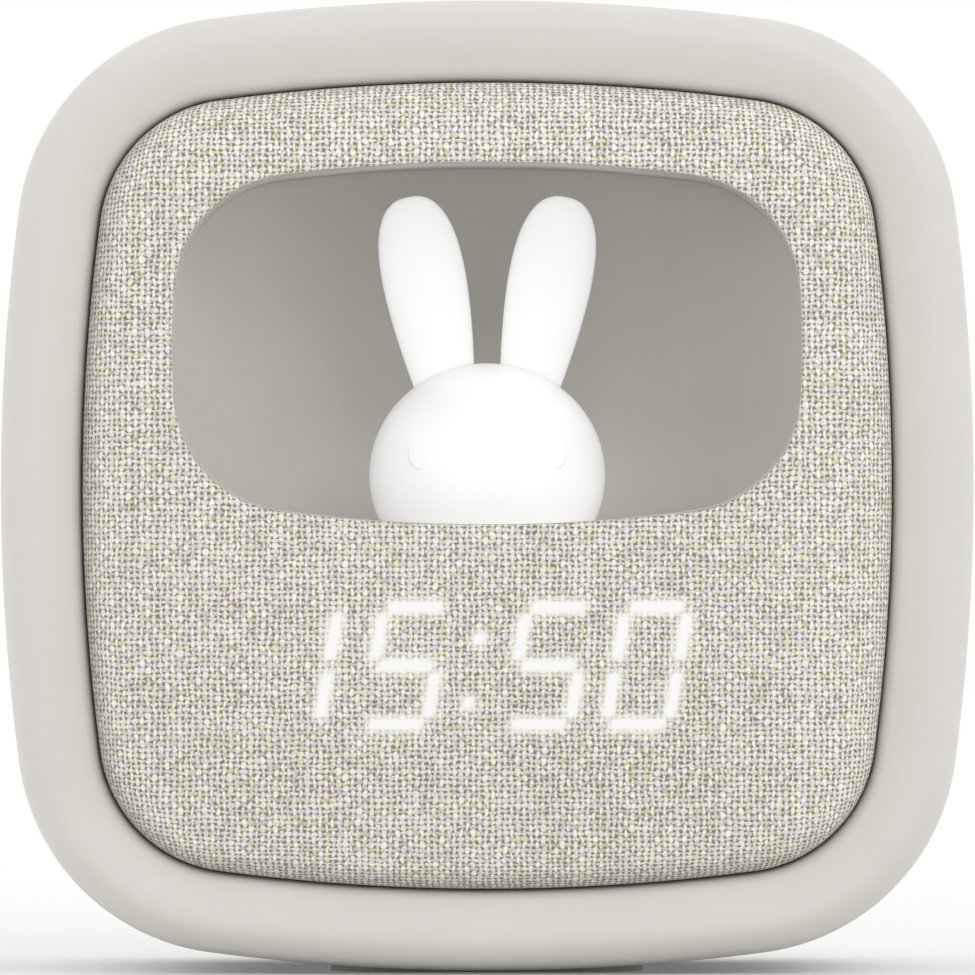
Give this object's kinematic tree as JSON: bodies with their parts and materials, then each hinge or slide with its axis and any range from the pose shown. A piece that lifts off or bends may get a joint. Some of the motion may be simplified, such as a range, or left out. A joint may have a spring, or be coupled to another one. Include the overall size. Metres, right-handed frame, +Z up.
{
  "type": "alarm clock",
  "caption": "Free-standing bedside alarm clock with a fabric front, a lit time display behind the weave and a glowing rabbit night light in a hollow.",
  "frame": {"origin": "middle of the bounding box's underside, on the table", "axes": "+X to the right as one faces the clock, -Y out of the front, +Z up"},
  "size_m": [0.13, 0.0794, 0.13],
  "materials": {
    "shell_plastic": "warm light grey, satin moulded",
    "foot_silicone": "soft matt silicone",
    "inner_plastic": "plain moulded, unpainted",
    "woven_fabric": "plain weave of cream, grey and faint lilac yarns",
    "alcove_plastic": "smooth warm grey",
    "rabbit_shade": "milky translucent white",
    "white_plastic": "white moulded",
    "circuit_board": "green solder resist",
    "led_package": "yellow phosphor",
    "lit_segments": "clear white light guide",
    "display_film": "thin diffusing film",
    "black_plastic": "moulded black",
    "button_plastic": "satin moulded",
    "socket_steel": "plated sheet",
    "cell_foil": "foil pouch",
    "speaker_steel": "grey plated",
    "speaker_paper": "black paper cone",
    "screw_steel": "zinc plated",
    "lead_sheath": "flexible insulated lead"
  },
  "bodies": {
    "clock_body": {"housing": "shell_plastic", "rear_cover": "shell_plastic", "foot_pad": "foot_silicone", "front_baffle": "inner_plastic", "fabric_cover": "woven_fabric", "alcove_liner": "alcove_plastic", "rabbit_head": "rabbit_shade", "rabbit_ear_left": "rabbit_shade", "rabbit_ear_right": "rabbit_shade", "lamp_collar": "white_plastic", "lamp_board": "circuit_board", "lamp_leds": "led_package", "display_reflector": "white_plastic", "display_segments": "lit_segments", "display_film": "display_film", "display_board": "circuit_board", "display_leds": "led_package", "main_board": "circuit_board", "board_chips": "black_plastic", "board_connectors": "white_plastic", "tact_switches": "black_plastic", "alarm_switch": "black_plastic", "usb_socket": "socket_steel", "usb_tongue": "black_plastic", "battery_tray": "inner_plastic", "battery_cell": "cell_foil", "speaker_frame": "speaker_steel", "speaker_magnet": "speaker_steel", "speaker_cone": "speaker_paper", "rear_cover_screws": "screw_steel", "board_screws": "screw_steel", "display_screws": "screw_steel", "liner_screws": "screw_steel", "lamp_screws": "screw_steel", "speaker_screws": "screw_steel", "tray_screws": "screw_steel", "battery_lead": "lead_sheath", "speaker_lead": "lead_sheath", "lamp_lead": "lead_sheath", "display_ribbon": "lead_sheath"},
    "light_button_body": {"light_button": "button_plastic", "light_plunger": "black_plastic"},
    "down_button_body": {"down_button": "button_plastic", "down_plunger": "black_plastic"},
    "clock_button_body": {"clock_button": "button_plastic", "clock_plunger": "black_plastic"},
    "up_button_body": {"up_button": "button_plastic", "up_plunger": "black_plastic"},
    "alarm_button_body": {"alarm_button": "button_plastic", "alarm_plunger": "black_plastic"},
    "alarm_slider_body": {"alarm_slider": "button_plastic"}
  },
  "joints": [
    {"name": "light_button_press", "type": "slide", "parent": "clock_body", "child": "light_button_body", "axis": [0, -1, 0], "range_m": [0, 0.0006], "stiffness_N_per_m": 800, "springref_m": -0.0008},
    {"name": "down_button_press", "type": "slide", "parent": "clock_body", "child": "down_button_body", "axis": [0, -1, 0], "range_m": [0, 0.0006], "stiffness_N_per_m": 800, "springref_m": -0.0008},
    {"name": "clock_button_press", "type": "slide", "parent": "clock_body", "child": "clock_button_body", "axis": [0, -1, 0], "range_m": [0, 0.0006], "stiffness_N_per_m": 800, "springref_m": -0.0008},
    {"name": "up_button_press", "type": "slide", "parent": "clock_body", "child": "up_button_body", "axis": [0, -1, 0], "range_m": [0, 0.0006], "stiffness_N_per_m": 800, "springref_m": -0.0008},
    {"name": "alarm_button_press", "type": "slide", "parent": "clock_body", "child": "alarm_button_body", "axis": [0, -1, 0], "range_m": [0, 0.0006], "stiffness_N_per_m": 800, "springref_m": -0.0008},
    {"name": "alarm_slider_slide", "type": "slide", "parent": "clock_body", "child": "alarm_slider_body", "axis": [1, 0, 0], "range_m": [0, 0.004]}
  ]
}
